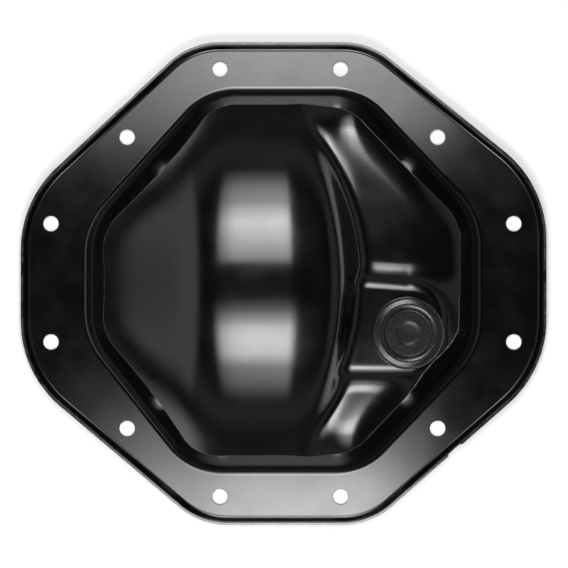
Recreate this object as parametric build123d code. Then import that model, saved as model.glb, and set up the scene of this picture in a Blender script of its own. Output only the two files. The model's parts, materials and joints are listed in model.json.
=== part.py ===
from build123d import *
import math
import os

# Rear axle cover, pressed from one sheet, with a push-in rubber fill plug.
# Millimetres. The origin is the centre of the bolt holes on the mating face,
# which is z = 0. +Z points out of the dome, and +X runs along the axle
# towards the side with the fill plug.

sheet = 1.9

# Rim: distances of the flats of the turned-up edge, at its top, and the
# directions of the slanting ones, anticlockwise from +X
rim_right = 166.4
rim_upper_right = 152.4
rim_top = 151.7
rim_upper_left = 150.3
rim_left = 164.9
rim_lower_left = 149.9
rim_bottom = 152.7
rim_lower_right = 151.3
rim_upper_right_angle = 51.1
rim_upper_left_angle = 133.1
rim_lower_left_angle = 229.8
rim_lower_right_angle = 311.3
rim_side_corner = 71.0
rim_end_corner = 47.0
lip_height = 9.0
lip_draft = 9.0
bend_radius = 2.6

# Mouth of the dome: the same for the flats where its root meets the flange
mouth_right = 127.1
mouth_upper_right = 122.4
mouth_top = 124.1
mouth_upper_left = 119.6
mouth_left = 127.0
mouth_lower_left = 122.1
mouth_bottom = 122.1
mouth_lower_right = 121.6
mouth_upper_right_angle = 43.6
mouth_upper_left_angle = 138.0
mouth_lower_left_angle = 218.3
mouth_lower_right_angle = 316.4
mouth_side_corner = 52.0
mouth_end_corner = 45.0
root_radius = 5.5
wall_angle = 70.0

# Ring gear bulge: a barrel about the axle line, which lies below the flange
dome_height = 75.0
crown_radius = 150.0
crown_left = -46.0
crown_right = 5.0
left_slope = 29.0
left_round = 55.0
right_slope = 11.0
right_round = 45.0
crest_x = 37.0
crest_drop = 5.5
crest_arc = 230.0
crest_round = 12.0
flank_slope = 64.0

# Lower side beside the bulge, with a facet towards each right-hand corner
side_x = 48.0
side_height = 44.0
side_slope = 8.0
side_step = 4.0
side_start = -10.0
facet_depth = 42.0
facet_slope = 22.0
facet_round = 50.0

# Broad shoulder where the dome's top turns into its left wall
left_shoulder = 18.0
shoulder_split = -30.0

# Raised pad that holds the fill plug
pad_height = 49.5
pad_half_width = 25.5
pad_y = -28.5
pad_draft = 42.0
pad_edge_round = 4.5
foot_round = 4.0

# Bolt holes, as three rectangles of four
bolt_hole = 9.7
end_bolt_width = 76.4
end_bolt_height = 271.2
end_bolt_shift = -1.4
side_bolt_width = 293.4
side_bolt_height = 75.0
corner_bolt_width = 196.8
corner_bolt_height = 184.8

# Fill plug
plug_x = 75.7
plug_y = -30.4
plug_hole = 31.0
plug_gap = 0.1
plug_head = 43.8
plug_head_height = 6.5
plug_flat = 30.0
plug_recess = 3.0
plug_dimple = 14.4
plug_dimple_depth = 0.6
plug_bulb = 35.0
plug_bulb_height = 8.0
plug_bore = 20.0
plug_bore_depth = 9.0
plug_ring_round = 2.2

# Notches left in the rim by the press: length, place along the flat, depth
low_notch_length = 10.6
low_notch_along = 12.1
low_notch_depth = 1.3
high_notch_length = 11.4
high_notch_along = -6.6
high_notch_depth = 0.4

axle_z = dome_height - crown_radius
root_inset = root_radius * math.tan(math.radians(wall_angle / 2))
far = 4 * dome_height
through = 6 * sheet
near = 0.05


def sine(angle):
    return math.sin(math.radians(angle))


def cosine(angle):
    return math.cos(math.radians(angle))


def tangent(angle):
    return math.tan(math.radians(angle))


def rim_sides():
    """Flats of the rim, anticlockwise: direction, distance, radius of the corner after it."""
    return [
        (0, rim_right, rim_side_corner),
        (rim_upper_right_angle, rim_upper_right, rim_end_corner),
        (90, rim_top, rim_end_corner),
        (rim_upper_left_angle, rim_upper_left, rim_side_corner),
        (180, rim_left, rim_side_corner),
        (rim_lower_left_angle, rim_lower_left, rim_end_corner),
        (270, rim_bottom, rim_end_corner),
        (rim_lower_right_angle, rim_lower_right, rim_side_corner),
    ]


def mouth_sides():
    """Flats of the mouth, anticlockwise: direction, distance, radius of the corner after it."""
    return [
        (0, mouth_right, mouth_side_corner),
        (mouth_upper_right_angle, mouth_upper_right, mouth_end_corner),
        (90, mouth_top, mouth_end_corner),
        (mouth_upper_left_angle, mouth_upper_left, mouth_side_corner),
        (180, mouth_left, mouth_side_corner),
        (mouth_lower_left_angle, mouth_lower_left, mouth_end_corner),
        (270, mouth_bottom, mouth_end_corner),
        (mouth_lower_right_angle, mouth_lower_right, mouth_side_corner),
    ]


def meeting_point(side, following, inset=0.0):
    """Point where two flats meet, both moved in by inset."""
    first = side[1] - inset
    second = following[1] - inset
    spread = sine(following[0] - side[0])
    x = (first * sine(following[0]) - second * sine(side[0])) / spread
    y = (second * cosine(side[0]) - first * cosine(following[0])) / spread
    return x, y


def outline(sides, grow=0.0):
    """Flat face inside the rounded outline, grown outwards by grow."""
    grown = [(angle, distance + grow, radius + grow) for angle, distance, radius in sides]
    count = len(grown)
    corners = [meeting_point(grown[i - 1], grown[i]) for i in range(count)]
    radii = [grown[i - 1][2] for i in range(count)]
    return make_face(FilletPolyline(*corners, radius=radii, close=True))


def depth_inside(sides, point):
    """Distance of a point inwards from the rounded outline."""
    depths = [distance - point.X * cosine(angle) - point.Y * sine(angle) for angle, distance, _ in sides]
    for i, side in enumerate(sides):
        following = sides[(i + 1) % len(sides)]
        x, y = meeting_point(side, following, side[2])
        dx = point.X - x
        dy = point.Y - y
        past_first = dy * cosine(side[0]) - dx * sine(side[0]) > 0
        before_next = dy * cosine(following[0]) - dx * sine(following[0]) < 0
        if past_first and before_next:
            depths.append(side[2] - math.hypot(dx, dy))
    return min(depths)


def samples(edge):
    """Points near an edge's ends and at its middle."""
    return [edge @ share for share in (0.1, 0.5, 0.9)]


def under_plane(point, normal):
    """Large block whose top face passes through point, square to normal."""
    return Plane(origin=point, z_dir=normal) * Pos(0, 0, -far / 2) * Box(2 * far, 2 * far, far)


def flank_plan(height, inset):
    """Plan radius of the bulge's steep right flank at a height."""
    crest = dome_height - crest_drop
    return crest_arc + (crest - height) / tangent(flank_slope) - inset / sine(flank_slope)


def bulge(inset):
    """Barrel turned about the axle line, cut by its steep right flank."""
    radius = crown_radius - inset
    left_x = crown_left + inset * tangent(left_slope / 2)
    right_x = crown_right - inset * tangent(right_slope / 2)
    left_end = -2 * mouth_left
    right_end = 2 * mouth_right
    left_radius = radius - (left_x - left_end) * tangent(left_slope)
    right_radius = radius - (right_end - right_x) * tangent(right_slope)
    profile = Polyline(
        (left_end, axle_z),
        (left_end, axle_z + left_radius),
        (left_x, axle_z + radius),
        (right_x, axle_z + radius),
        (right_end, axle_z + right_radius),
        (right_end, axle_z),
        close=True,
    )
    face = make_face(Plane.XZ * profile)
    left_corner, right_corner = face.vertices().group_by(Axis.Z)[-1].sort_by(Axis.X)
    face = fillet(left_corner, left_round - inset)
    right_corner = face.vertices().sort_by_distance((right_x, 0, axle_z + radius))[0]
    face = fillet(right_corner, right_round - inset)
    barrel = revolve(face, Axis((0, 0, axle_z), (1, 0, 0)))
    low = -dome_height
    high = 2 * dome_height
    flank = Cone(flank_plan(low, inset), flank_plan(high, inset), high - low)
    body = barrel & Pos(crest_x - crest_arc, 0, (low + high) / 2) * flank
    crest = body.edges().filter_by(lambda edge: on_flank(edge, inset)).sort_by(Axis.Z)[-1]
    return fillet(crest, crest_round - inset)


def on_plane(edge, point, normal):
    return all(abs((sample - point).dot(normal)) < near for sample in samples(edge))


def lower_side(inset):
    """Shallow side beside the bulge, with a facet towards each right-hand corner."""
    normal = Vector(sine(side_slope), 0, cosine(side_slope))
    origin = Vector(side_x, 0, side_height) - normal * inset
    body = under_plane(origin, normal)
    ridges = []
    for angle, distance, _ in (mouth_sides()[1], mouth_sides()[7]):
        out = distance - facet_depth
        x = out * cosine(angle)
        z = side_height - (x - side_x) * tangent(side_slope)
        slant = sine(facet_slope)
        facing = Vector(slant * cosine(angle), slant * sine(angle), cosine(facet_slope))
        point = Vector(x, out * sine(angle), z) - facing * inset
        body &= under_plane(point, facing)
        ridges.append((point, facing))
    edges = body.edges().filter_by(lambda edge: on_plane(edge, origin, normal))
    edges = edges.filter_by(lambda edge: any(on_plane(edge, *ridge) for ridge in ridges))
    around_axle = Rot(0, 90, 0) * Cylinder(crown_radius - side_step - inset, 2 * mouth_right)
    return fillet(edges, facet_round - inset) & Pos(mouth_right + side_start, 0, axle_z) * around_axle


def pad(inset):
    """Raised tongue from the bulge, round about the fill plug, with its top edge rounded."""
    drop = pad_height / tangent(pad_draft)
    half_width = pad_half_width + drop - inset / sine(pad_draft) + inset / tangent(pad_draft)
    plan = SlotCenterToCenter(plug_x, 2 * half_width)
    body = extrude(Pos(plug_x / 2, pad_y, 0) * plan, pad_height - inset, taper=90 - pad_draft)
    return fillet(body.edges().group_by(Axis.Z)[-1], pad_edge_round - inset)


def on_flank(edge, inset):
    """Whether an edge lies on the bulge's steep right flank."""
    axis_x = crest_x - crest_arc
    plan = [(math.hypot(p.X - axis_x, p.Y), flank_plan(p.Z, inset)) for p in samples(edge)]
    return all(abs(found - wanted) < near for found, wanted in plan)


def on_pad_side(edge, inset):
    """Whether an edge lies on the drafted side of the pad, below its rounded top."""
    side = pad_half_width - inset / sine(pad_draft)
    for p in samples(edge):
        out = math.hypot(max(p.X - plug_x, 0), p.Y - pad_y)
        if p.X < 0 or abs(out - side - (pad_height - p.Z) / tangent(pad_draft)) > near:
            return False
    return edge.center().Z < pad_height - inset - pad_edge_round * (1 - cosine(pad_draft)) - near


def is_corner(body, edge):
    """Whether two faces of a body meet at an edge at an angle."""
    middle = edge @ 0.5
    normals = [face.normal_at(middle) for face in body.faces() if edge in face.edges()]
    return len(normals) == 2 and normals[0].get_angle(normals[1]) > 1


def feet(body, inset):
    """Corners where the flank or the pad rises from what lies below."""
    edges = body.edges().filter_by(lambda edge: on_flank(edge, inset) or on_pad_side(edge, inset))
    return edges.filter_by(lambda edge: is_corner(body, edge))


def on_wall(edge, inset):
    """Whether an edge lies on the drafted wall, above its foot."""
    for p in samples(edge):
        foot = root_inset + (p.Z - sheet) / tangent(wall_angle) + inset / sine(wall_angle)
        if p.Z < sheet or abs(depth_inside(mouth_sides(), p) - foot) > near:
            return False
    return min(edge.position_at(0).Z, edge.position_at(1).Z) > sheet


def on_wall_foot(edge, height, inset):
    """Whether an edge is where the wall meets a level face at a height."""
    foot = root_inset + (height - sheet) / tangent(wall_angle) + inset / sine(wall_angle)
    points = samples(edge)
    level = all(abs(p.Z - height) < near for p in points)
    return level and all(abs(depth_inside(mouth_sides(), p) - foot) < near for p in points)


def wall(inset):
    """Drafted block that gives the dome its walls."""
    grow = (sheet + dome_height) / tangent(wall_angle) - root_inset - inset / sine(wall_angle)
    base = Pos(0, 0, -dome_height) * outline(mouth_sides(), grow)
    return extrude(base, 2 * dome_height, taper=90 - wall_angle)


def dome(inset):
    """Solid dome down to below the flange, its skin moved in by inset."""
    top = bulge(inset) + lower_side(inset) + pad(inset)
    top = fillet(feet(top, inset), foot_round + inset)
    body = top & wall(inset)
    rim = body.edges().filter_by(lambda edge: on_wall(edge, inset))
    left = rim.filter_by(lambda edge: edge.center().X < shoulder_split)
    return fillet(left, left_shoulder - inset)


def rim_pan():
    """Flat flange with its edge turned up all round."""
    inward = lip_height * tangent(lip_draft)
    blank = extrude(outline(rim_sides(), -inward), lip_height, taper=-lip_draft)
    blank = fillet(blank.edges().group_by(Axis.Z)[0], bend_radius + sheet)
    inward = (lip_height - sheet) * tangent(lip_draft) + sheet / cosine(lip_draft)
    pocket = extrude(Pos(0, 0, sheet) * outline(rim_sides(), -inward), lip_height, taper=-lip_draft)
    return blank - fillet(pocket.edges().group_by(Axis.Z)[0], bend_radius)


def press_notch(side, length, along, depth):
    """Block that takes a nick out of the rim's edge, at a place along one flat."""
    block = Box(far, length, far, align=(Align.MIN, Align.CENTER, Align.CENTER))
    return Rot(0, 0, side[0]) * Pos(side[1] - depth, along, 0) * block


def bolt_places():
    """Centres of the twelve bolt holes."""
    places = []
    rectangles = [
        (end_bolt_width, end_bolt_height, end_bolt_shift),
        (side_bolt_width, side_bolt_height, 0),
        (corner_bolt_width, corner_bolt_height, 0),
    ]
    for width, height, shift in rectangles:
        for across in (-1, 1):
            for up in (-1, 1):
                places.append((shift + across * width / 2, up * height / 2))
    return places


def cover():
    above = Box(far, far, far, align=(Align.CENTER, Align.CENTER, Align.MIN))
    outer = dome(0) & Pos(0, 0, sheet / 2) * above
    body = rim_pan() + outer
    rooted = body.edges().filter_by(lambda edge: on_wall_foot(edge, sheet, 0))
    body = fillet(rooted, root_radius)
    body -= dome(sheet)
    mouth = body.edges().filter_by(lambda edge: on_wall_foot(edge, 0, sheet))
    body = fillet(mouth, root_radius + sheet)
    for x, y in bolt_places():
        body -= Pos(x, y, 0) * Cylinder(bolt_hole / 2, through)
    body -= Pos(plug_x, plug_y, pad_height) * Cylinder(plug_hole / 2, through)
    body -= press_notch(rim_sides()[7], low_notch_length, low_notch_along, low_notch_depth)
    body -= press_notch(rim_sides()[3], high_notch_length, high_notch_along, high_notch_depth)
    return body


def fill_plug():
    """Rubber plug: a domed ring with a dished middle, a neck in the hole and a bulb behind it."""
    seat = pad_height + plug_gap
    top = seat + plug_head_height
    under = pad_height - sheet - plug_gap
    bulb_foot = under - plug_bulb_height
    rim = plug_head / 2
    neck = plug_hole / 2 - plug_gap
    dish = plug_flat / 2
    dimple = plug_dimple / 2
    bore = plug_bore / 2
    section = make_face(Plane.XZ * Polyline(
        (0, top - plug_recess - plug_dimple_depth),
        (dimple, top - plug_recess - plug_dimple_depth),
        (dimple + plug_dimple_depth, top - plug_recess),
        (dish, top - plug_recess),
        (dish + plug_recess / 2, top),
        (rim - plug_recess / 2, top),
        (rim, top - plug_recess),
        (rim, seat),
        (neck, seat),
        (neck, under),
        (plug_bulb / 2, under),
        (neck, bulb_foot),
        (bore, bulb_foot),
        (bore, bulb_foot + plug_bore_depth),
        (0, bulb_foot + plug_bore_depth),
        close=True,
    ))
    ring = [(dish + plug_recess / 2, top), (rim - plug_recess / 2, top)]
    for x, z in ring:
        section = fillet(section.vertices().sort_by_distance((x, 0, z))[0], plug_ring_round)
    return Pos(plug_x, plug_y, 0) * revolve(section, Axis.Z)


os.makedirs("parts", exist_ok=True)
export_step(cover(), "parts/cover.step")
export_step(fill_plug(), "parts/fill_plug.step")
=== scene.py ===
import json
import math

import bpy
import numpy as np
from mathutils.geometry import delaunay_2d_cdt
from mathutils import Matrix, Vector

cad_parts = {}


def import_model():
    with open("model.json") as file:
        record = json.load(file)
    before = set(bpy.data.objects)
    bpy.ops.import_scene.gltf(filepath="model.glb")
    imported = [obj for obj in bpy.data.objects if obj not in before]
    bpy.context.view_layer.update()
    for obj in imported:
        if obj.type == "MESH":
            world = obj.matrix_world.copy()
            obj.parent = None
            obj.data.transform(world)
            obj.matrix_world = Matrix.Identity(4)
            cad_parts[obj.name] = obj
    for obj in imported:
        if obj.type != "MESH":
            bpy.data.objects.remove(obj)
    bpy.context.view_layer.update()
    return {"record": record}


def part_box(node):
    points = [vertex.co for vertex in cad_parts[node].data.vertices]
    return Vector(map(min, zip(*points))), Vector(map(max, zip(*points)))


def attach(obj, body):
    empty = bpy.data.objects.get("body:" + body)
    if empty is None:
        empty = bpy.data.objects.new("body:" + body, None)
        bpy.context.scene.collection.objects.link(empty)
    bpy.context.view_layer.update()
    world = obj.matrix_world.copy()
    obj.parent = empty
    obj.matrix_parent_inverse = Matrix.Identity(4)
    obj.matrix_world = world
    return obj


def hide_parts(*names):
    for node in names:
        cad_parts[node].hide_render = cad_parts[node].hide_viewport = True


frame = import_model()

# Axle cover pressed from painted sheet, with a rubber fill plug. Lengths are in
# millimetres in the frame's own axes, and mm turns them into metres. Angles and
# slopes are in degrees.
mm = 0.001
mounts = {mount["name"]: mount for mount in frame["record"]["mounts"]}
cover_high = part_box("cover")[1]
plug_low, plug_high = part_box("fill_plug")

sheet = 1.9

# Flats, anticlockwise: direction, distance from the origin, radius of the corner after it
rim = [
    (0, 166.4, 71),
    (51.1, 152.4, 47),
    (90, 151.7, 47),
    (133.1, 150.3, 71),
    (180, 164.9, 71),
    (229.8, 149.9, 47),
    (270, 152.7, 47),
    (311.3, 151.3, 71),
]
mouth = [
    (0, 127.1, 52),
    (43.6, 122.4, 45),
    (90, 124.6, 45),
    (138, 119.6, 52),
    (180, 127.0, 52),
    (218.3, 122.1, 45),
    (270, 122.1, 45),
    (316.4, 121.6, 52),
]
lip_height = 9.0
lip_draft = 9.0
bend_radius = 2.6
edge_round = 0.3
# Notches in the lip: number of the flat, counted from 0, length, place along it, depth
notches = [(7, 10.6, 12.1, 1.3), (3, 11.4, -6.6, 0.4)]
notch_end = 0.3
root_radius = 5.5
wall_angle = 68.0

# Ring gear bulge, a barrel about the axle line
dome_height = cover_high[2] / mm
crown_radius = 150.0
barrel_end_slope = 39.0
crown_left = -46.0
crown_right = 5.0
left_slope = 29.0
left_round = 55.0
right_slope = 11.0
right_round = 45.0
crest_x = 36.5
crest_drop = 5.5
crest_arc = 150.0
crest_round = 4.0
crest_fall_width = 5.0
crest_fall_slope = 16.0
crest_fall_round = 20.0
crest_fall_y = (35, 80)
flank_slope = 70.0
axle_z = dome_height - crown_radius

# Lower side, its end that falls away, and the feet of what rises from it
side_x = 48.0
side_height = 43.5
side_slope = 0.5
side_fall_x = 82.0
side_fall = 7.0
side_start = 38.0
side_left_slope = 18.0
side_round = 90.0
side_left_round = 60.0
flank_foot = 4.0
pad_foot = 20.0

# What leads from the top down to the wall: depths inside the mouth, slopes, roundings and,
# in brackets, between which distances from the middle it begins or ends
side_outline = [(0, 136.5, 52), (43.6, 126.5, 45), *mouth[2:7], (316.4, 123.5, 52)]
side_bevel_depth = 28.0
side_bevel_slope = 29.0
side_bevel_round = 34.0
left_fall_depth = 28.0
left_fall_slope = 13.0
left_fall_round = 60.0
left_fall_x = (40, 80)
left_fall_y = (20, 100)
wall_round = 0.2
right_wall_round = 1.2
right_wall_x = (30, 70)

# Raised pad of the plug. Lean and widening are per millimetre towards the bulge.
pad_height = 49.5
pad_half_width = 26.0
pad_y = -27.6
pad_lean = 0.04
pad_widening = 0.03
pad_end_x = 97.0
pad_corner = 19.0
pad_draft = 42.0
pad_edge_round = 11.0

# Plug. Its innermost ring is very small and stands in for a point on the axis.
plug_x = (plug_low[0] + plug_high[0]) / 2 / mm
plug_y = (plug_low[1] + plug_high[1]) / 2 / mm
plug_hole = 31.0
plug_gap = 0.1
plug_recess = 3.0
plug_bulb = 35.0
plug_bore = 20.0
plug_bore_depth = 9.0
plug_centre = 0.01
plug_steps = 96

# Pressing: how far the sheet evens out its bends, and the spacing of the heights that are averaged
press_spread = 4.4
press_step = 1.0
press_reach = 150.0
bell_reach = 4

# Mesh spacing
stations = 448
ring_depth = 24.0
ring_step = 0.9
fine_ring_step = 0.25
fine_rings_from = 11.0
fine_rings_to = 19.0
lip_steps = 4
bend_steps = 8
root_steps = 10
corner_steps = 7
grid_step = 1.5
grid_reach = 150.0
grid_clearance = 0.7 * grid_step
hole_steps = 40

# Triangles: how far they may pass the mouth, how near the rim they may come, how close
# points are that count as one, and the smallest area that is kept
seam_slack = 0.02
lip_clearance = 1.0
weld_distance = 1e-6
least_area = 1e-4

# Searches by halving: where they start and how often they halve
lowest = -50.0
widest = 300.0
height_halvings = 28
plan_halvings = 50

# Distances over which the slopes of the face and of an outline are measured
slope_step = 0.05
outline_step = 0.01

upwards = (0.0, 0.0, 1.0)


def sine(angle):
    return math.sin(math.radians(angle))


def cosine(angle):
    return math.cos(math.radians(angle))


def tangent(angle):
    return math.tan(math.radians(angle))


def meeting_point(side, following, inset):
    """Point where two flats meet, both moved in by inset."""
    first = side[1] - inset
    second = following[1] - inset
    between = sine(following[0] - side[0])
    x = (first * sine(following[0]) - second * sine(side[0])) / between
    y = (second * cosine(side[0]) - first * cosine(following[0])) / between
    return x, y


def depth_inside(sides, x, y):
    """Distances of points inwards from a rounded outline."""
    depth = np.full(np.shape(x), np.inf)
    for angle, distance, _ in sides:
        depth = np.minimum(depth, distance - x * cosine(angle) - y * sine(angle))
    for side, following in zip(sides, sides[1:] + sides[:1]):
        radius = side[2]
        dx, dy = meeting_point(side, following, radius)
        dx = x - dx
        dy = y - dy
        past_first = dy * cosine(side[0]) - dx * sine(side[0]) > 0
        before_next = dy * cosine(following[0]) - dx * sine(following[0]) < 0
        arc = radius - np.hypot(dx, dy)
        depth = np.where(past_first & before_next, np.minimum(depth, arc), depth)
    return depth


def rounded_common(a, b, radius, turn):
    """Distance to what two bodies share, its edge rounded by about a radius where the faces turn."""
    width = radius * (1 - cosine(turn))
    share = np.clip(0.5 + (a - b) / (2 * width), 0, 1)
    return b + (a - b) * share + width * share * (1 - share)


def rounded_union(a, b, radius, turn):
    """Distance to two bodies together, with a fillet in the corner between them."""
    return -rounded_common(-a, -b, radius, turn)


def plane(x, y, z, point, normal):
    """Distance above a plane through a point."""
    return (x - point[0]) * normal[0] + (y - point[1]) * normal[1] + (z - point[2]) * normal[2]


def smooth_step(value, start, end):
    """Share that rises gently from 0 to 1 between two values."""
    share = np.clip((value - start) / (end - start), 0, 1)
    return share * share * (3 - 2 * share)


def falling(distance, slope, radius):
    """How far a surface has dropped that starts to fall at a slope where the distance passes zero."""
    return rounded_common(0 * distance, distance * sine(slope), radius, slope) / cosine(slope)


def barrel(x, y, z):
    """Barrel about the axle line that falls away to the left and to the right."""
    round_axle = np.hypot(y, z - axle_z)
    straight = abs(y) * sine(barrel_end_slope) + (z - axle_z) * cosine(barrel_end_slope)
    past_end = np.arctan2(abs(y), z - axle_z) > math.radians(barrel_end_slope)
    body = np.where(past_end, straight, round_axle) - crown_radius
    body += falling(crown_left - x, left_slope, left_round)
    body += falling(x - crown_right, right_slope, right_round)
    leftness = smooth_step(-x, *left_fall_x) * (1 - smooth_step(abs(y), *left_fall_y))
    past = left_fall_depth - depth_inside(mouth, x, y)
    return body + leftness * falling(past, left_fall_slope, left_fall_round)


def bulge_and_side(x, y, z):
    """Barrel cut off by a steep flank on the right, which stands on the lower side."""
    side = lower_side(x, y, z)
    plan = np.hypot(x - crest_x + crest_arc, y) - crest_arc
    flank = plan * sine(flank_slope) + (z - dome_height + crest_drop) * cosine(flank_slope)
    flank = rounded_union(flank, side, flank_foot, flank_slope - side_slope)
    share = 1 - smooth_step(abs(y), *crest_fall_y)
    body = barrel(x, y, z) + share * falling(plan + crest_fall_width, crest_fall_slope, crest_fall_round)
    body = rounded_common(body, flank, crest_round, flank_slope - right_slope)
    return np.minimum(body, side)


def lower_side(x, y, z):
    """Nearly level face that falls away on the left, at its right end and towards the wall."""
    near = plane(x, y, z, (side_x, 0, side_height), (sine(side_slope), 0, cosine(side_slope)))
    fall_height = side_height - (side_fall_x - side_x) * tangent(side_slope)
    far = plane(x, y, z, (side_fall_x, 0, fall_height), (sine(side_fall), 0, cosine(side_fall)))
    face = rounded_common(near, far, side_round, side_fall)
    normal = (-sine(side_left_slope), 0, cosine(side_left_slope))
    left = plane(x, y, z, (side_start, 0, side_height), normal)
    face = rounded_common(face, left, side_left_round, side_left_slope)
    past = side_bevel_depth - depth_inside(side_outline, x, y)
    return face + falling(past, side_bevel_slope, side_bevel_round)


def pad(x, y, z):
    """Raised pad with a rounded end on the right, a little wider towards the bulge."""
    before_end = np.clip(plug_x - x, 0, plug_x)
    half_width = pad_half_width + pad_widening * before_end
    aside = abs(y - pad_y - pad_lean * before_end) - half_width + pad_corner
    across = x - pad_end_x + pad_corner
    out = np.hypot(np.maximum(across, 0), np.maximum(aside, 0)) - pad_corner
    out += np.minimum(np.maximum(across, aside), 0)
    side = out * sine(pad_draft) + (z - pad_height) * cosine(pad_draft)
    return np.maximum(rounded_common(z - pad_height, side, pad_edge_round, pad_draft), -x)


def heights_of(body, x, y):
    """Heights at which plan points pass out of a body."""
    low = np.full(np.shape(x), lowest)
    high = np.full(np.shape(x), dome_height + sheet)
    for _ in range(height_halvings):
        middle = (low + high) / 2
        above = body(x, y, middle) > 0
        high = np.where(above, middle, high)
        low = np.where(above, low, middle)
    return (low + high) / 2


def averaged(heights):
    """Heights on a grid evened out by a bell-shaped mean along both axes."""
    reach = int(bell_reach * press_spread / press_step)
    offsets = np.arange(-reach, reach + 1) * press_step
    weights = np.exp(-0.5 * (offsets / press_spread) ** 2)
    weights /= weights.sum()
    for axis in (0, 1):
        margins = [(reach, reach) if i == axis else (0, 0) for i in (0, 1)]
        wide = np.pad(heights, margins, mode="edge")
        size = heights.shape[axis]
        parts = [weight * np.take(wide, np.arange(i, i + size), axis) for i, weight in enumerate(weights)]
        heights = sum(parts)
    return heights


def cubic_weights(share):
    """Weights of the four heights round a place, for a curve through the middle two."""
    return (
        ((2 - share) * share - 1) * share / 2,
        ((3 * share - 5) * share * share + 2) / 2,
        ((4 - 3 * share) * share + 1) * share / 2,
        (share - 1) * share * share / 2,
    )


def pressed_height(x, y):
    """Height of the pressed bulge and side, read between the heights on the grid."""
    # A place is kept far enough inside the grid to have two heights on each side
    last = len(press_spots) - 3.001
    column = np.clip((x + press_reach) / press_step, 1, last)
    row = np.clip((y + press_reach) / press_step, 1, last)
    left = np.floor(column).astype(int)
    below = np.floor(row).astype(int)
    height = 0.0 * x
    for i, across in enumerate(cubic_weights(column - left)):
        for j, up in enumerate(cubic_weights(row - below)):
            height = height + across * up * pressed[below + j - 1, left + i - 1]
    return height


def upper_face(x, y, z, base, steepness):
    """Distance above the painted upper face of the dome, less than zero below it."""
    top = rounded_union((z - base) * steepness, pad(x, y, z), pad_foot, pad_draft)
    root = root_radius * tangent(wall_angle / 2)
    wall = (root - depth_inside(mouth, x, y)) * sine(wall_angle) + (z - sheet) * cosine(wall_angle)
    radius = wall_round + (right_wall_round - wall_round) * smooth_step(x, *right_wall_x)
    return rounded_common(top, wall, radius, wall_angle / 2)


def on_face(x, y):
    """Points of the upper face above a plan, and the directions square to it."""
    step = slope_step
    base = pressed_height(x, y)
    slope_x = (pressed_height(x + step, y) - pressed_height(x - step, y)) / (2 * step)
    slope_y = (pressed_height(x, y + step) - pressed_height(x, y - step)) / (2 * step)
    steepness = 1 / np.sqrt(1 + slope_x ** 2 + slope_y ** 2)
    z = heights_of(lambda x, y, z: upper_face(x, y, z, base, steepness), x, y)

    def face_at(dx, dy, dz):
        here = base + slope_x * dx + slope_y * dy
        return upper_face(x + dx, y + dy, z + dz, here, steepness)

    slopes = [
        face_at(step, 0, 0) - face_at(-step, 0, 0),
        face_at(0, step, 0) - face_at(0, -step, 0),
        face_at(0, 0, step) - face_at(0, 0, -step),
    ]
    normals = np.stack(slopes, axis=-1)
    normals /= np.linalg.norm(normals, axis=-1, keepdims=True)
    return np.stack([x, y, z], axis=-1), normals


def outline_ring(sides, depth, angles):
    """Plan points at a depth inside an outline, one for each direction from the origin."""
    low = np.zeros(len(angles))
    high = np.full(len(angles), widest)
    for _ in range(plan_halvings):
        middle = (low + high) / 2
        inside = depth_inside(sides, middle * np.cos(angles), middle * np.sin(angles)) > depth
        low = np.where(inside, middle, low)
        high = np.where(inside, high, middle)
    return low * np.cos(angles), low * np.sin(angles)


class Shell:
    """Mesh in the making: points, faces, and one normal for each corner of each face."""

    def __init__(self):
        self.points = []
        self.faces = []
        self.normals = []

    def add(self, points):
        """Adds points and gives their numbers."""
        first = len(self.points)
        self.points.extend(map(tuple, points))
        return np.arange(first, len(self.points))

    def face(self, corners, normals):
        """Adds one face, with a normal for each of its corners."""
        self.faces.append(corners)
        self.normals.extend(normals)

    def band(self, first, second, first_normals, second_normals):
        """Quads between two closed loops, the first one outside or above the second."""
        count = len(first)
        for i in range(count):
            j = (i + 1) % count
            corners = (first[i], first[j], second[j], second[i])
            self.face(corners, (first_normals[i], first_normals[j], second_normals[j], second_normals[i]))

    def bands(self, loops, normals):
        """Bands from each loop to the next."""
        for number in range(len(loops) - 1):
            self.band(loops[number], loops[number + 1], normals[number], normals[number + 1])

    def mesh(self, name):
        """Object of that name made of the points and faces, in metres."""
        mesh = bpy.data.meshes.new(name)
        scaled = [(x * mm, y * mm, z * mm) for x, y, z in self.points]
        mesh.from_pydata(scaled, [], [tuple(int(i) for i in face) for face in self.faces])
        mesh.polygons.foreach_set("use_smooth", [True] * len(mesh.polygons))
        mesh.normals_split_custom_set([tuple(map(float, normal)) for normal in self.normals])
        piece = bpy.data.objects.new(name, mesh)
        bpy.context.scene.collection.objects.link(piece)
        return piece


def triangles(plan, loops, keep):
    """Delaunay triangles of plan points, held to closed loops, where keep says so of their middles."""
    edges = []
    for loop in loops:
        edges.extend((int(a), int(b)) for a, b in zip(loop, np.roll(loop, -1)))
    places = [tuple(place) for place in plan]
    _, _, faces, origins, _, _ = delaunay_2d_cdt(places, edges, [], 0, weld_distance)
    index = np.array([origin[0] for origin in origins])
    faces = index[np.array([face for face in faces])]
    corners = plan[faces]
    first = corners[:, 1] - corners[:, 0]
    second = corners[:, 2] - corners[:, 0]
    area = first[:, 0] * second[:, 1] - first[:, 1] * second[:, 0]
    middle = corners.mean(axis=1)
    return faces[keep(middle[:, 0], middle[:, 1]) & (area > least_area)]


def circle(x, y, radius):
    """Plan points round a hole."""
    turn = np.arange(hole_steps) * 2 * math.pi / hole_steps
    return np.stack([x + radius * np.cos(turn), y + radius * np.sin(turn)], axis=-1)


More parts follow.
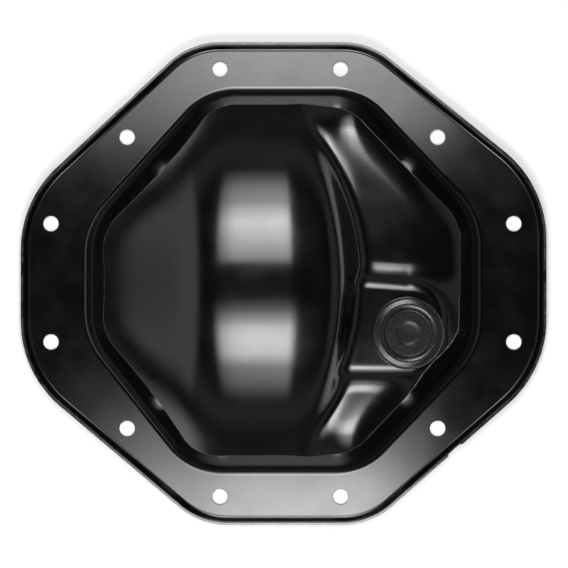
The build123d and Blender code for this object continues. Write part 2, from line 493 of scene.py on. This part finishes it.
def bolt_places():
    """Centres and radii of the bolt holes, from the frame's bolt patterns."""
    places = []
    for mount in mounts.values():
        if mount["kind"] == "bolt_pattern":
            x, y, _ = mount["pos_m"]
            width = mount["dims"]["spacing_x_mm"]
            height = mount["dims"]["spacing_y_mm"]
            for across in (-1, 1):
                for up in (-1, 1):
                    place = (x / mm + across * width / 2, y / mm + up * height / 2)
                    places.append((*place, mount["dims"]["hole_r_mm"]))
    return places


def lip_profile():
    """Inner face of the turned-up edge down to the flange: depth inside the rim, height and slope."""
    corner = sheet / cosine(lip_draft) + (lip_height - sheet) * tangent(lip_draft)
    turn = 90 - lip_draft
    flat = corner + bend_radius * tangent(turn / 2)
    profile = []
    top = lip_height - edge_round
    foot = sheet + bend_radius - bend_radius * cosine(turn)
    for share in np.linspace(0, 1, lip_steps)[:-1]:
        z = top + (foot - top) * share
        profile.append((sheet / cosine(lip_draft) + (lip_height - z) * tangent(lip_draft), z, turn))
    for angle in np.linspace(turn, 0, bend_steps):
        z = sheet + bend_radius - bend_radius * cosine(angle)
        profile.append((flat - bend_radius * sine(angle), z, angle))
    return profile


def inwards(sides, x, y):
    """Plan directions inwards from an outline."""
    step = outline_step
    dx = depth_inside(sides, x + step, y) - depth_inside(sides, x - step, y)
    dy = depth_inside(sides, x, y + step) - depth_inside(sides, x, y - step)
    length = np.hypot(dx, dy)
    return dx / length, dy / length


def rim_angles():
    """Directions of the mesh's stations, with more of them at the ends of the notches."""
    angles = list(np.arange(stations) * 2 * math.pi / stations)
    for number, length, place, _ in notches:
        angle, distance, _ = rim[number]
        for end in (place - length / 2, place + length / 2):
            for along in (end - notch_end, end + notch_end):
                angles.append((math.radians(angle) + math.atan2(along, distance)) % (2 * math.pi))
    return np.array(sorted(angles))


def notched(points):
    """Points of the lip's outer side, moved inwards where a notch is."""
    points = np.array(points)
    x = points[:, 0]
    y = points[:, 1]
    depth = depth_inside(rim, x, y)
    in_x, in_y = inwards(rim, x, y)
    for number, length, place, cut in notches:
        angle, distance, _ = rim[number]
        along = y * cosine(angle) - x * sine(angle)
        beside = x * cosine(angle) + y * sine(angle)
        inside = smooth_step(length / 2 - abs(along - place), -notch_end, notch_end)
        inside = np.where(beside > distance / 2, inside, 0)
        move = inside * np.maximum(cut - depth, 0)
        points[:, 0] += move * in_x
        points[:, 1] += move * in_y
    return points


def lip_rings(angles):
    """Points and normals of the lip's rings on the upper face, from its edge to the flange."""
    rings = []
    for depth, z, turn in lip_profile():
        x, y = outline_ring(rim, depth, angles)
        in_x, in_y = inwards(rim, x, y)
        points = np.stack([x, y, np.full(len(x), z)], axis=-1)
        normals = np.stack([in_x * sine(turn), in_y * sine(turn), np.full(len(x), cosine(turn))], axis=-1)
        rings.append((points, normals))
    return rings


def root_rings(angles):
    """Points and normals of the rounding between the flange and the dome's wall."""
    rings = []
    for turn in np.linspace(0, wall_angle, root_steps):
        x, y = outline_ring(mouth, root_radius * sine(turn), angles)
        in_x, in_y = inwards(mouth, x, y)
        height = sheet + root_radius * (1 - cosine(turn))
        points = np.stack([x, y, np.full(len(x), height)], axis=-1)
        normals = np.stack([-in_x * sine(turn), -in_y * sine(turn), np.full(len(x), cosine(turn))], axis=-1)
        rings.append((points, normals))
    return rings


def ring_depths():
    """Depths inside the mouth of the rings on the wall, close together round its top edge."""
    return [
        *np.arange(root_radius * sine(wall_angle) + ring_step, fine_rings_from, ring_step),
        *np.arange(fine_rings_from, fine_rings_to, fine_ring_step),
        *np.arange(fine_rings_to, ring_depth, ring_step),
    ]


def wall_rings(angles):
    """Points and normals of the rings on the wall and round its top edge."""
    return [on_face(*outline_ring(mouth, depth, angles)) for depth in ring_depths()]


def top_grid():
    """Points and normals of a grid on the top, further in than the rings and clear of the plug."""
    spots = np.arange(-grid_reach, grid_reach, grid_step)
    x, y = [axis.ravel() for axis in np.meshgrid(spots, spots)]
    from_plug = np.hypot(x - plug_x, y - plug_y)
    inner = depth_inside(mouth, x, y) > ring_depths()[-1] + grid_clearance
    inner &= from_plug > plug_hole / 2 + edge_round + grid_clearance
    return on_face(x[inner], y[inner])


def hole_places():
    """Centre, radius and height of every hole, the plug's last."""
    places = [(x, y, radius, sheet) for x, y, radius in bolt_places()]
    return places + [(plug_x, plug_y, plug_hole / 2, pad_height)]


def hole_ring(hole):
    """Points and normals of the upper face round a hole."""
    x, y, radius, z = hole
    ring = circle(x, y, radius + edge_round)
    points = np.column_stack([ring, np.full(len(ring), z)])
    return points, np.tile(upwards, (len(ring), 1))


def numbered(groups):
    """Points and normals of groups put in one row, and the numbers of each group's points."""
    ends = np.cumsum([len(points) for points, _ in groups])
    numbers = [np.arange(end - len(points), end) for end, (points, _) in zip(ends, groups)]
    points = np.concatenate([points for points, _ in groups])
    normals = np.concatenate([normals for _, normals in groups])
    return points, normals, numbers


def on_flange(x, y):
    """Where plan points are on the flange and clear of its holes."""
    clear = (depth_inside(mouth, x, y) < seam_slack) & (depth_inside(rim, x, y) > lip_clearance)
    for hole_x, hole_y, radius in bolt_places():
        clear &= np.hypot(x - hole_x, y - hole_y) > radius + edge_round
    return clear


def on_dome(x, y):
    """Where plan points are clear of the plug's hole."""
    return np.hypot(x - plug_x, y - plug_y) > plug_hole / 2 + edge_round


def fill(points, ids, loops, keep):
    """Triangles of the numbered points between loops, where keep says so of their middles."""
    places = {int(index): place for place, index in enumerate(ids)}
    local = [np.array([places[int(i)] for i in loop]) for loop in loops]
    return ids[triangles(points[ids][:, :2], local, keep)]


def line_hole(shell, hole, upper_loop, lower_loop):
    """Wall of a hole through the sheet, with a small bevel at each face."""
    x, y, radius, z = hole
    ring = circle(x, y, radius)
    loops = [upper_loop]
    for level in (z - edge_round, z - sheet + edge_round):
        loops.append(shell.add(np.column_stack([ring, np.full(len(ring), level)])))
    loops.append(lower_loop)
    up = np.tile(upwards, (len(ring), 1))
    inward = np.column_stack([(x, y) - circle(x, y, 1.0), np.zeros(len(ring))])
    shell.bands(loops, [up, inward, inward, -up])


def close_lip(shell, angles, lower_loop, upper_loop, inward):
    """Cut edge of the lip, level, with a small bevel at each side."""
    loops = [lower_loop]
    for depth in (edge_round, sheet / cosine(lip_draft) - edge_round):
        x, y = outline_ring(rim, depth, angles)
        loops.append(shell.add(notched(np.column_stack([x, y, np.full(len(angles), lip_height)]))))
    loops.append(upper_loop)
    up = np.tile(upwards, (len(angles), 1))
    shell.bands(loops, [-inward, up, up, inward])


def cover_mesh():
    """Cover of even thickness: an upper and a lower skin, joined round the holes and the lip."""
    angles = rim_angles()
    lip = lip_rings(angles)
    rings = lip + root_rings(angles) + wall_rings(angles)
    holes = hole_places()
    points, normals, numbers = numbered([*rings, top_grid(), *map(hole_ring, holes)])
    ring_ids = numbers[:len(rings)]
    grid_ids = numbers[len(rings)]
    hole_ids = numbers[len(rings) + 1:]

    flange_outside = len(lip) - 1
    flange_loops = [ring_ids[flange_outside], ring_ids[flange_outside + 1], *hole_ids[:-1]]
    flange = fill(points, np.concatenate(flange_loops), flange_loops, on_flange)
    top_ids = np.concatenate([ring_ids[-1], grid_ids, hole_ids[-1]])
    top = fill(points, top_ids, [ring_ids[-1], hole_ids[-1]], on_dome)

    under = points - sheet * normals
    lip_ids = np.concatenate(ring_ids[:len(lip)])
    under[lip_ids] = notched(under[lip_ids])
    shell = Shell()
    upper = shell.add(points)
    lower = shell.add(under)
    for skin, facing in ((upper, 1), (lower, -1)):
        for number in range(len(rings) - 1):
            if number == flange_outside:
                continue
            first, second = (ring_ids[number], ring_ids[number + 1])[::facing]
            shell.band(skin[first], skin[second], facing * normals[first], facing * normals[second])
        for face in np.concatenate([flange, top]):
            face = face[::facing]
            shell.face(skin[face], facing * normals[face])

    for ids, hole in zip(hole_ids, holes):
        line_hole(shell, hole, upper[ids], lower[ids])
    edge = ring_ids[0]
    close_lip(shell, angles, lower[edge], upper[edge], normals[edge])
    return shell.mesh("cover_skin")


def rounded_path(corners):
    """Points of a path with its corners rounded, and the direction of the path at each."""
    points = []
    for number, (r, z, radius) in enumerate(corners):
        corner = np.array([r, z])
        if radius == 0:
            for other in (number - 1, number + 1):
                if 0 <= other < len(corners):
                    along = (np.array(corners[other][:2]) - corner) * (other - number)
                    points.append((corner, along / np.linalg.norm(along)))
            continue
        before = corner - np.array(corners[number - 1][:2])
        after = np.array(corners[number + 1][:2]) - corner
        before /= np.linalg.norm(before)
        after /= np.linalg.norm(after)
        side = np.sign(before[0] * after[1] - before[1] * after[0])
        turn = math.acos(np.clip(before @ after, -1, 1))
        start = corner - before * radius * math.tan(turn / 2)
        centre = start + side * radius * np.array([-before[1], before[0]])
        for angle in np.linspace(0, turn, corner_steps):
            way = before * math.cos(angle) + side * np.array([-before[1], before[0]]) * math.sin(angle)
            points.append((centre + side * radius * np.array([way[1], -way[0]]), way))
    return points


def plug_section():
    """Half section of the plug: dimple, dished middle, convex ring, head, neck and bulb."""
    seat = pad_height + plug_gap
    top = plug_high[2] / mm
    dish = top - plug_recess
    head = (plug_high[0] - plug_low[0]) / 2 / mm
    neck = plug_hole / 2 - plug_gap
    under = pad_height - sheet - plug_gap
    foot = plug_low[2] / mm
    # Each corner: radius from the axis, height, rounding
    return rounded_path([
        (plug_centre, dish - 0.5, 0),
        (5.4, dish - 0.3, 9.0),
        (7.6, dish - 0.02, 9.0),
        (13.9, dish, 0.7),
        (14.9, dish + 1.9, 0.8),
        (16.9, top, 4.0),
        (20.7, top - 1.2, 1.6),
        (21.3, top - 2.2, 0.6),
        (head, top - 4.6, 0.6),
        (head, seat + 0.5, 0.4),
        (head - 0.5, seat, 0),
        (neck, seat, 0),
        (neck, under, 0),
        (plug_bulb / 2, under, 0.3),
        (plug_bulb / 2, under - 0.8, 0.3),
        (neck, foot, 0.5),
        (plug_bore / 2, foot, 0.5),
        (plug_bore / 2, foot + plug_bore_depth, 0.8),
        (plug_centre, foot + plug_bore_depth, 0),
    ])


def plug_mesh():
    """Rubber plug, its section turned about its axis."""
    turns = np.arange(plug_steps) * 2 * math.pi / plug_steps
    around_x = np.cos(turns)
    around_y = np.sin(turns)
    level = np.ones(len(turns))
    shell = Shell()
    loops = []
    for (r, z), (along_r, along_z) in plug_section():
        points = np.column_stack([plug_x + r * around_x, plug_y + r * around_y, z * level])
        normals = np.column_stack([-along_z * around_x, -along_z * around_y, along_r * level])
        loops.append((shell.add(points), normals))
    for (first, first_normals), (second, second_normals) in zip(loops, loops[1:]):
        if np.allclose(shell.points[first[0]], shell.points[second[0]]):
            continue
        shell.band(second, first, second_normals, first_normals)
    return shell.mesh("plug_body")


def nodes_of(material):
    """Nodes and links of a material, and its shader."""
    material.use_nodes = True
    return material.node_tree.nodes, material.node_tree.links, material.node_tree.nodes["Principled BSDF"]


def noise(nodes, links, scale, detail=2.0):
    """Noise on the object's own coordinates, of a scale and a detail."""
    place = nodes.new("ShaderNodeTexCoord")
    texture = nodes.new("ShaderNodeTexNoise")
    texture.inputs["Scale"].default_value = scale
    texture.inputs["Detail"].default_value = detail
    links.new(place.outputs["Object"], texture.inputs["Vector"])
    return texture.outputs["Fac"]


def spread(nodes, links, value, low, high, from_low=0.35, from_high=0.65):
    """Value made to run from low to high where it runs between two others, and held beyond them."""
    node = nodes.new("ShaderNodeMapRange")
    node.inputs["From Min"].default_value = from_low
    node.inputs["From Max"].default_value = from_high
    node.inputs["To Min"].default_value = low
    node.inputs["To Max"].default_value = high
    links.new(value, node.inputs["Value"])
    return node.outputs["Result"]


def bumps(nodes, links, layers):
    """Normal bent by layers of noise: scale, strength and height of each."""
    normal = None
    for scale, strength, height in layers:
        bump = nodes.new("ShaderNodeBump")
        bump.inputs["Strength"].default_value = strength
        bump.inputs["Distance"].default_value = height
        links.new(noise(nodes, links, scale), bump.inputs["Height"])
        if normal:
            links.new(normal, bump.inputs["Normal"])
        normal = bump.outputs["Normal"]
    return normal


def grey_mix(nodes, links, share, dark, light):
    """Colour between two grey levels."""
    mix = nodes.new("ShaderNodeMix")
    mix.data_type = "RGBA"
    mix.inputs["A"].default_value = (dark, dark, dark, 1)
    mix.inputs["B"].default_value = (light, light, light, 1)
    links.new(share, mix.inputs["Factor"])
    return mix.outputs["Result"]


def paint():
    """Gloss black paint with a fine orange peel, lighter grey in patches at the height of the lip's cut
    edge.
    """
    black, edge_grey = 0.002, 0.06
    patch_noise = (180, 5)
    haze = (60, 6)
    roughness = (0.15, 0.21)
    waviness = (22, 0.12, 0.0006)
    orange_peel = (900, 0.045, 0.0002)
    material = bpy.data.materials.new("black_paint")
    nodes, links, shader = nodes_of(material)
    place = nodes.new("ShaderNodeTexCoord")
    height = nodes.new("ShaderNodeSeparateXYZ")
    links.new(place.outputs["Object"], height.inputs["Vector"])
    level = height.outputs["Z"]
    top = lip_height * mm
    # Lighter grey in patches on the lip's cut edge, in a band from 0.3 mm under its top to 0.2 mm over it
    edge = spread(nodes, links, level, 0, 1, top - edge_round * mm, top)
    not_above = spread(nodes, links, level, 1, 0, top + 0.1 * mm, top + 0.2 * mm)
    edge_patches = spread(nodes, links, noise(nodes, links, *patch_noise), 0, 1)
    for share in (not_above, edge_patches):
        product = nodes.new("ShaderNodeMath")
        product.operation = "MULTIPLY"
        links.new(edge, product.inputs[0])
        links.new(share, product.inputs[1])
        edge = product.outputs["Value"]
    links.new(grey_mix(nodes, links, edge, black, edge_grey), shader.inputs["Base Color"])
    links.new(spread(nodes, links, noise(nodes, links, *haze), *roughness), shader.inputs["Roughness"])
    shader.inputs["Specular IOR Level"].default_value = 0.5
    shader.inputs["Coat Weight"].default_value = 0.5
    shader.inputs["Coat Roughness"].default_value = 0.08
    normal = bumps(nodes, links, [waviness, orange_peel])
    links.new(normal, shader.inputs["Normal"])
    links.new(normal, shader.inputs["Coat Normal"])
    return material


def rubber():
    """Black rubber, a little worn and smudged, with a fine grain."""
    black, smudged = 0.010, 0.024
    smudges = (1100, 8)
    patch_noise = (700, 6)
    roughness = (0.12, 0.2)
    dents = (140, 0.1, 0.0005)
    grain = (1500, 0.35, 0.0002)
    material = bpy.data.materials.new("plug_rubber")
    nodes, links, shader = nodes_of(material)
    smudge = spread(nodes, links, noise(nodes, links, *smudges), 0, 1)
    links.new(grey_mix(nodes, links, smudge, black, smudged), shader.inputs["Base Color"])
    links.new(spread(nodes, links, noise(nodes, links, *patch_noise), *roughness), shader.inputs["Roughness"])
    shader.inputs["Specular IOR Level"].default_value = 0.5
    links.new(bumps(nodes, links, [dents, grain]), shader.inputs["Normal"])
    return material


def floor():
    """Pale floor that keeps the cover's shadow and looks white to the camera and in the paint."""
    reach = 60.0
    grey = 0.95
    glow_strength = 0.2
    mesh = bpy.data.meshes.new("floor")
    corners = [(-reach, -reach, 0), (reach, -reach, 0), (reach, reach, 0), (-reach, reach, 0)]
    mesh.from_pydata(corners, [], [(0, 1, 2, 3)])
    piece = bpy.data.objects.new("floor", mesh)
    bpy.context.scene.collection.objects.link(piece)
    material = bpy.data.materials.new("floor")
    nodes, links, shader = nodes_of(material)
    shader.inputs["Base Color"].default_value = (grey, grey, grey, 1)
    shader.inputs["Roughness"].default_value = 1.0
    shader.inputs["Specular IOR Level"].default_value = 0.0
    shader.inputs["Emission Color"].default_value = (1, 1, 1, 1)
    path = nodes.new("ShaderNodeLightPath")
    seen = path.outputs["Is Camera Ray"]
    for kind in ("Is Glossy Ray", "Is Transmission Ray"):
        either = nodes.new("ShaderNodeMath")
        either.operation = "MAXIMUM"
        links.new(seen, either.inputs[0])
        links.new(path.outputs[kind], either.inputs[1])
        seen = either.outputs["Value"]
    glow = nodes.new("ShaderNodeMath")
    glow.operation = "MULTIPLY"
    glow.inputs[1].default_value = glow_strength
    links.new(seen, glow.inputs[0])
    links.new(glow.outputs["Value"], shader.inputs["Emission Strength"])
    mesh.materials.append(material)


def ramp(nodes, stops):
    """Colour ramp of grey levels at places from 0 to 1."""
    node = nodes.new("ShaderNodeValToRGB")
    node.color_ramp.interpolation = "EASE"
    elements = node.color_ramp.elements
    for element, (place, level) in zip(elements, (stops[0], stops[-1])):
        element.position = place
        element.color = (level, level, level, 1)
    for place, level in stops[1:-1]:
        element = elements.new(place)
        element.color = (level, level, level, 1)
    return node


def softbox(name, height, radiance, stops, along):
    """Lamp over the cover with a share of its radiance at stops along y, and along x."""
    light = bpy.data.lights.new(name, "AREA")
    light.shape = "RECTANGLE"
    stops = sorted(stops)
    left = along[0][0]
    low = stops[0][0]
    light.size = along[-1][0] - left
    light.size_y = stops[-1][0] - low
    light.energy = radiance * math.pi * light.size * light.size_y
    light.use_nodes = True
    nodes = light.node_tree.nodes
    links = light.node_tree.links
    place = nodes.new("ShaderNodeNewGeometry")
    split = nodes.new("ShaderNodeSeparateXYZ")
    links.new(place.outputs["Parametric"], split.inputs["Vector"])
    across = ramp(nodes, [((x - left) / light.size, level) for x, level in along])
    deep = ramp(nodes, [((y - low) / light.size_y, level) for y, level in stops])
    both = nodes.new("ShaderNodeMath")
    both.operation = "MULTIPLY"
    links.new(split.outputs["X"], across.inputs["Fac"])
    links.new(split.outputs["Y"], deep.inputs["Fac"])
    links.new(across.outputs["Color"], both.inputs[0])
    links.new(deep.outputs["Color"], both.inputs[1])
    links.new(both.outputs["Value"], nodes["Emission"].inputs["Strength"])
    lamp = bpy.data.objects.new(name, light)
    lamp.location = (left + light.size / 2, low + light.size_y / 2, height)
    bpy.context.scene.collection.objects.link(lamp)


def world():
    """Dark studio, dim grey low down, with panels on the left and right that fade towards the floor."""
    surroundings = bpy.data.worlds.new("studio")
    surroundings.use_nodes = True
    nodes = surroundings.node_tree.nodes
    links = surroundings.node_tree.links
    place = nodes.new("ShaderNodeTexCoord")
    split = nodes.new("ShaderNodeSeparateXYZ")
    across = nodes.new("ShaderNodeMapRange")
    across.inputs["From Min"].default_value = -1
    links.new(place.outputs["Generated"], split.inputs["Vector"])
    links.new(split.outputs["X"], across.inputs["Value"])
    panels = ramp(nodes, [
        (0, 0),
        (0.01, 0.04),
        (0.04, 0.35),
        (0.08, 0.7),
        (0.14, 0.7),
        (0.20, 0.01),
        (0.80, 0.01),
        (0.86, 0.24),
        (1, 0.24),
    ])
    low = ramp(nodes, [(0, 0), (0.15, 0.05), (0.35, 0.2), (0.65, 0.01), (1, 0.01)])
    raised = ramp(nodes, [(0, 0), (0.12, 0.05), (0.34, 1), (1, 1)])
    hung = nodes.new("ShaderNodeMath")
    hung.operation = "MULTIPLY"
    brighter = nodes.new("ShaderNodeMath")
    brighter.operation = "MAXIMUM"
    links.new(across.outputs["Result"], panels.inputs["Fac"])
    links.new(split.outputs["Z"], low.inputs["Fac"])
    links.new(split.outputs["Z"], raised.inputs["Fac"])
    links.new(panels.outputs["Color"], hung.inputs[0])
    links.new(raised.outputs["Color"], hung.inputs[1])
    links.new(hung.outputs["Value"], brighter.inputs[0])
    links.new(low.outputs["Color"], brighter.inputs[1])
    links.new(brighter.outputs["Value"], nodes["Background"].inputs["Strength"])
    nodes["Background"].inputs["Color"].default_value = (1, 1, 1, 1)
    bpy.context.scene.world = surroundings


def camera():
    """Straight above the cover, about a metre up, at 0.635 mm a pixel of a 568 pixel frame."""
    pixels = 568
    pixel = 0.635 * mm
    distance = 1.0
    data = bpy.data.cameras.new("camera")
    data.sensor_width = 36.0
    data.lens = data.sensor_width * distance / (pixels * pixel)
    view = bpy.data.objects.new("camera", data)
    origin_x = 282.4
    origin_y = 282.8
    view.location = ((pixels / 2 - origin_x) * pixel, (origin_y - pixels / 2) * pixel, distance)
    bpy.context.scene.collection.objects.link(view)
    bpy.context.scene.camera = view


def lamps():
    """Two softboxes over the upper and the lower half, each with its light and dark parts."""
    upper_glow = [
        (0.15, 0),
        (0.22, 0.4),
        (0.30, 0.52),
        (0.43, 0.78),
        (0.56, 1),
        (0.70, 0.7),
        (0.85, 0.35),
        (1.5, 0.03),
    ]
    lower_glow = [
        (-0.06, 0),
        (-0.11, 0.1),
        (-0.15, 0.35),
        (-0.21, 0.9),
        (-0.26, 1),
        (-0.32, 0.93),
        (-0.45, 0.24),
        (-0.8, 0.03),
    ]
    upper_breadth = [(-0.37, 0.1), (-0.2, 0.55), (-0.04, 1), (0.12, 1), (0.18, 0.8), (0.25, 0)]
    lower_breadth = [(-0.22, 0.1), (-0.1, 0.65), (-0.02, 1), (0.08, 1), (0.12, 0.5), (0.16, 0)]
    upper_height, upper_radiance = 1.0, 11.5
    lower_height, lower_radiance = 0.5, 11.0
    softbox("upper_softbox", upper_height, upper_radiance, upper_glow, upper_breadth)
    softbox("lower_softbox", lower_height, lower_radiance, lower_glow, lower_breadth)


camera()
floor()
world()
lamps()
bpy.context.scene.view_settings.view_transform = "Standard"

press_spots = np.arange(-press_reach, press_reach + press_step, press_step)
pressed = averaged(heights_of(bulge_and_side, *np.meshgrid(press_spots, press_spots)))

cover = cover_mesh()
cover.data.materials.append(paint())
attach(cover, "root")
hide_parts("cover")

plug = plug_mesh()
plug.data.materials.append(rubber())
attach(plug, "root")
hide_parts("fill_plug")
